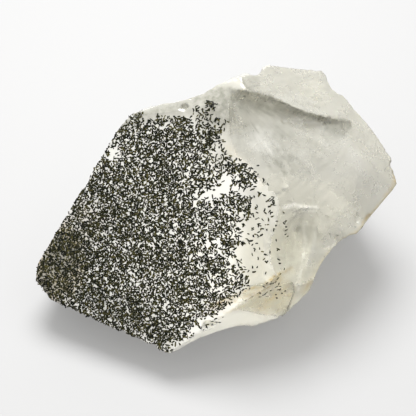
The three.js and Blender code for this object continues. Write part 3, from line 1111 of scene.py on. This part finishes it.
@dataclass
class MineralBlades:
    """The dark mineral blades, thousands of them, in and just under the grown faces."""

    seed: int = 5665
    cloud: BladeCloud = BladeCloud()
    length: Limits = (0.45, 1.0)
    width: Limits = (0.24, 0.4)
    flatness: float = 0.55  # the thickness for the width
    tilt: float = 0.25  # how far a blade may lean out of the surface, for its length
    proud: float = 0.05  # how far a blade may stand out of the surface
    shallow: Limits = (-0.05, 0.02)
    deep: Limits = (0.15, 0.9)
    deep_share: float = 0.1
    spacing: float = 0.2
    tries: int = 154000
    sides: int = 4
    ends: Limits = (0.44, 0.32)  # the radii of a unit blade's ends
    waist: float = 0.05  # where its thickest ring is, above its middle
    swell: Triple = (1.35, 1.2, 1.0)
    bends: tuple[float, ...] = (0.0, 0.08, 0.2)
    olive_share: float = 0.24
    finish: BladeFinish = BladeFinish()
    black: tuple[Colour, ...] = (
        (0.003, 0.0035, 0.002), (0.006, 0.0065, 0.003), (0.013, 0.013, 0.005),
    )
    olive: tuple[Colour, ...] = (
        (0.016, 0.016, 0.006), (0.028, 0.026, 0.009), (0.045, 0.04, 0.012),
    )

    def build(self, body: bpy.types.Object) -> list[bpy.types.Object]:
        """Lays the blades inside the crystal.

        Args:
            body: the crystal, under whose surface they lie.

        Returns:
            The blades as three objects: the black ones seen, the olive ones and those behind.
        """
        random.seed(self.seed)
        templates = [self.template(bend) for bend in self.bends]
        groups: dict[str, list[Blade]] = {}
        towards = VIEWER.axes()[2]
        for centre, normal in self.places(body.data):
            points, triangles = random.choice(templates)
            if random.random() < self.olive_share:
                name, shade = "olive_blades", random.choice(self.olive)
            else:
                name = "black_blades" if normal.dot(towards) > 0 else "black_blades_behind"
                shade = random.choice(self.black)
            blade = (self.blade(points, centre, normal), triangles, shade)
            groups.setdefault(name, []).append(blade)
        surface = surface_of(body.data)
        material = self.finish.build()
        return [self.joined(name, blades, surface, material) for name, blades in groups.items()]

    def joined(
        self,
        name: str,
        blades: list[Blade],
        surface: BVHTree,
        material: bpy.types.Material,
    ) -> bpy.types.Object:
        """Joins blades in one object and keeps them from standing out of the crystal.

        Args:
            name: the object's name.
            blades: each blade's points, triangles and colour.
            surface: the crystal's surface.
            material: the blades' finish.

        Returns:
            The object.
        """
        starts = np.cumsum([0] + [len(points) for points, _, _ in blades])
        verts = np.concatenate([points for points, _, _ in blades])
        faces = [triangles + start for (_, triangles, _), start in zip(blades, starts)]
        shades = [np.tile((*shade, 1.0), (len(points), 1)) for points, _, shade in blades]
        for i, point in enumerate(verts):
            near, normal, _, _ = surface.find_nearest(Vector(point))
            if (Vector(point) - near).dot(normal) > self.proud * MM:
                verts[i] = near + normal * self.proud * MM
        mesh = bpy.data.meshes.new(name)
        mesh.from_pydata(verts.tolist(), [], np.concatenate(faces).tolist())
        colours = mesh.attributes.new("shade", "FLOAT_COLOR", "POINT")
        colours.data.foreach_set("color", np.concatenate(shades).astype(np.float32).ravel())
        mesh.materials.append(material)
        obj = bpy.data.objects.new(name, mesh)
        bpy.context.scene.collection.objects.link(obj)
        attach(obj, BODY)
        return obj

    def template(self, bend: float) -> tuple[np.ndarray, np.ndarray]:
        """One blade of unit size, along Z.

        Args:
            bend: how far its middle stands to one side.

        Returns:
            Its points and its triangles.
        """
        shape = bmesh.new()
        low, high = self.ends
        bmesh.ops.create_cone(
            shape, cap_ends=True, segments=self.sides, radius1=low, radius2=high, depth=1.0
        )
        everything = shape.verts[:] + shape.edges[:] + shape.faces[:]
        cut = bmesh.ops.bisect_plane(
            shape, geom=everything, plane_co=(0, 0, self.waist), plane_no=(0, 0, 1)
        )
        ring = [part for part in cut["geom_cut"] if isinstance(part, bmesh.types.BMVert)]
        bmesh.ops.scale(shape, verts=ring, vec=self.swell)
        bmesh.ops.translate(shape, verts=ring, vec=(bend, 0.0, 0.0))
        bmesh.ops.triangulate(shape, faces=shape.faces)
        shape.verts.index_update()
        points = np.array([v.co for v in shape.verts], np.float64)
        triangles = np.array([[v.index for v in f.verts] for f in shape.faces], np.int64)
        shape.free()
        return points, triangles

    def places(self, mesh: bpy.types.Mesh) -> list[tuple[Vector, Vector]]:
        """Where the blades lie.

        Args:
            mesh: the crystal's surface.

        Returns:
            Each blade's middle and the direction out of the crystal there.
        """
        points, normals = self.scattered(mesh)
        rng = np.random.default_rng(self.seed + 1)
        keep = rng.random(len(points)) < self.cloud.density(points, normals)
        size = self.spacing * MM
        beside = (-1, 0, 1)
        steps = [(a, b, c) for a in beside for b in beside for c in beside]
        taken: dict[tuple[int, int, int], list[Vector]] = {}
        found: list[tuple[Vector, Vector]] = []
        for row, direction in zip(points[keep].tolist(), normals[keep].tolist()):
            point, normal = Vector(row), Vector(direction)
            i, j, k = cell = tuple(math.floor(x / size) for x in row)
            near = (other for a, b, c in steps for other in taken.get((i + a, j + b, k + c), ()))
            if any((point - other).length < size for other in near):
                continue
            taken.setdefault(cell, []).append(point)
            limits = self.deep if random.random() < self.deep_share else self.shallow
            found.append((point - normal * random.uniform(*limits) * MM, normal))
        return found

    def scattered(self, mesh: bpy.types.Mesh) -> tuple[np.ndarray, np.ndarray]:
        """Even random points over the surface, with the directions out of it."""
        rng = np.random.default_rng(self.seed)
        mesh.calc_loop_triangles()
        corners = np.empty(len(mesh.loop_triangles) * 3, np.int64)
        mesh.loop_triangles.foreach_get("vertices", corners)
        a, b, c = (points_of(mesh)[corners.reshape(-1, 3)[:, i]] for i in range(3))
        cross = np.cross(b - a, c - a)
        area = np.linalg.norm(cross, axis=1)
        pick = rng.choice(len(area), self.tries, p=area / area.sum())
        r, t = rng.random(self.tries), rng.random(self.tries)
        root = np.sqrt(r)[:, None]
        points = a[pick] * (1 - root) + b[pick] * root * (1 - t[:, None])
        points += c[pick] * root * t[:, None]
        return points, cross[pick] / area[pick, None]

    def blade(self, template: np.ndarray, centre: Vector, normal: Vector) -> np.ndarray:
        """One blade's points.

        Args:
            template: the unit blade, along Z.
            centre: where its middle lies.
            normal: the direction out of the crystal there.

        Returns:
            The points, in metres.
        """
        length = random.uniform(*self.length) * MM
        width = random.uniform(*self.width) * MM
        lying = normal.orthogonal().normalized()
        lying.rotate(Matrix.Rotation(random.uniform(0, 2 * math.pi), 3, normal))
        along = (lying + normal * random.uniform(-self.tilt, self.tilt)).normalized()
        across = along.cross(normal).normalized()
        thick = along.cross(across)
        basis = np.array([across * width, thick * width * self.flatness, along * length])
        return template @ basis + np.array(centre)


@dataclass
class Stage:
    """The floor, the sky, the lamp and the camera. Its lengths are metres."""

    floor_size: float = 4.0
    floor_colour: Colour = (0.183, 0.183, 0.185)
    floor_roughness: float = 0.6
    floor_light: Colour = (1.0, 0.995, 0.985)
    floor_glow: float = 0.2  # light that comes through the paper from below
    gap: float = 0.0002  # between the foot of the crystal and the floor
    sky_colour: Colour = (1.0, 0.995, 0.975)
    sky_direction: Triple = (0.15, 0.75, 0.55)
    sky_limits: Limits = (-0.1, 0.9)  # between which the sky goes from low to high
    sky_low: float = 1.35
    sky_high: float = 1.8
    key_power: float = 2.8
    key_place: Triple = (-0.02, 0.18, 0.35)
    key_size: float = 0.26  # across
    camera_reach: float = 20.0

    def build(self) -> None:
        """Sets the floor, the lights and the camera."""
        self.floor()
        self.sky()
        self.key()
        self.camera()
        bpy.context.scene.view_settings.view_transform = "Standard"

    def floor(self) -> None:
        """A plain pale floor, faintly lit from below."""
        shape = bmesh.new()
        bmesh.ops.create_grid(shape, x_segments=1, y_segments=1, size=self.floor_size / 2)
        bmesh.ops.translate(shape, verts=shape.verts, vec=(0, 0, -self.gap))
        mesh = bpy.data.meshes.new("floor")
        shape.to_mesh(mesh)
        shape.free()
        material, _, shader = new_material("floor_paper")
        paper = {"Base Color": (*self.floor_colour, 1.0), "Roughness": self.floor_roughness}
        light = {"Emission Color": (*self.floor_light, 1.0), "Emission Strength": self.floor_glow}
        set_sockets(shader, {**paper, **light})
        mesh.materials.append(material)
        obj = bpy.data.objects.new("floor", mesh)
        bpy.context.scene.collection.objects.link(obj)

    def sky(self) -> None:
        """A pale sky, bright behind the crystal and dim in front."""
        world = bpy.data.worlds.new("pale_sky")
        world.use_nodes = True
        tree = world.node_tree
        place = tree.nodes.new("ShaderNodeTexCoord")
        along = tree.nodes.new("ShaderNodeVectorMath")
        along.operation = "DOT_PRODUCT"
        along.inputs[1].default_value = Vector(self.sky_direction).normalized()
        link(tree, place.outputs["Generated"], along.inputs[0])
        low, high = self.sky_limits
        limits = {"From Min": low, "From Max": high}
        limits |= {"To Min": self.sky_low, "To Max": self.sky_high}
        glow = map_range(tree, along.outputs["Value"], limits)
        glow.interpolation_type = "SMOOTHSTEP"
        background = tree.nodes["Background"]
        set_sockets(background, {"Color": (*self.sky_colour, 1.0)})
        link(tree, glow.outputs["Result"], background.inputs["Strength"])
        bpy.context.scene.world = world

    def key(self) -> None:
        """A soft lamp above the crystal, a little behind it."""
        lamp = bpy.data.lights.new("key_light", "AREA")
        lamp.shape = "DISK"
        lamp.size = self.key_size
        lamp.energy = self.key_power
        obj = bpy.data.objects.new("key_light", lamp)
        obj.location = self.key_place
        obj.rotation_euler = (-Vector(self.key_place)).to_track_quat("-Z", "Y").to_euler()
        bpy.context.scene.collection.objects.link(obj)

    def camera(self) -> None:
        """A camera at the viewer's place."""
        camera = bpy.data.cameras.new("camera")
        camera.lens = camera.sensor_width * VIEWER.distance / VIEWER.width
        camera.clip_end = self.camera_reach
        obj = bpy.data.objects.new("camera", camera)
        obj.location = VIEWER.place(*VIEWER.middle, VIEWER.distance)
        obj.rotation_euler = (math.radians(90 - VIEWER.elevation), 0.0, 0.0)
        bpy.context.scene.collection.objects.link(obj)
        bpy.context.scene.camera = obj


def main() -> None:
    """Builds the stage, the crystal and its blades, and reports each piece."""
    logging.basicConfig(level=logging.INFO, format="%(message)s")
    Stage().build()
    body = CrystalBody().build()
    for piece in (body, *MineralBlades().build(body)):
        log.info("%s: %d faces", piece.name, len(piece.data.polygons))


if __name__ == "__main__":
    main()
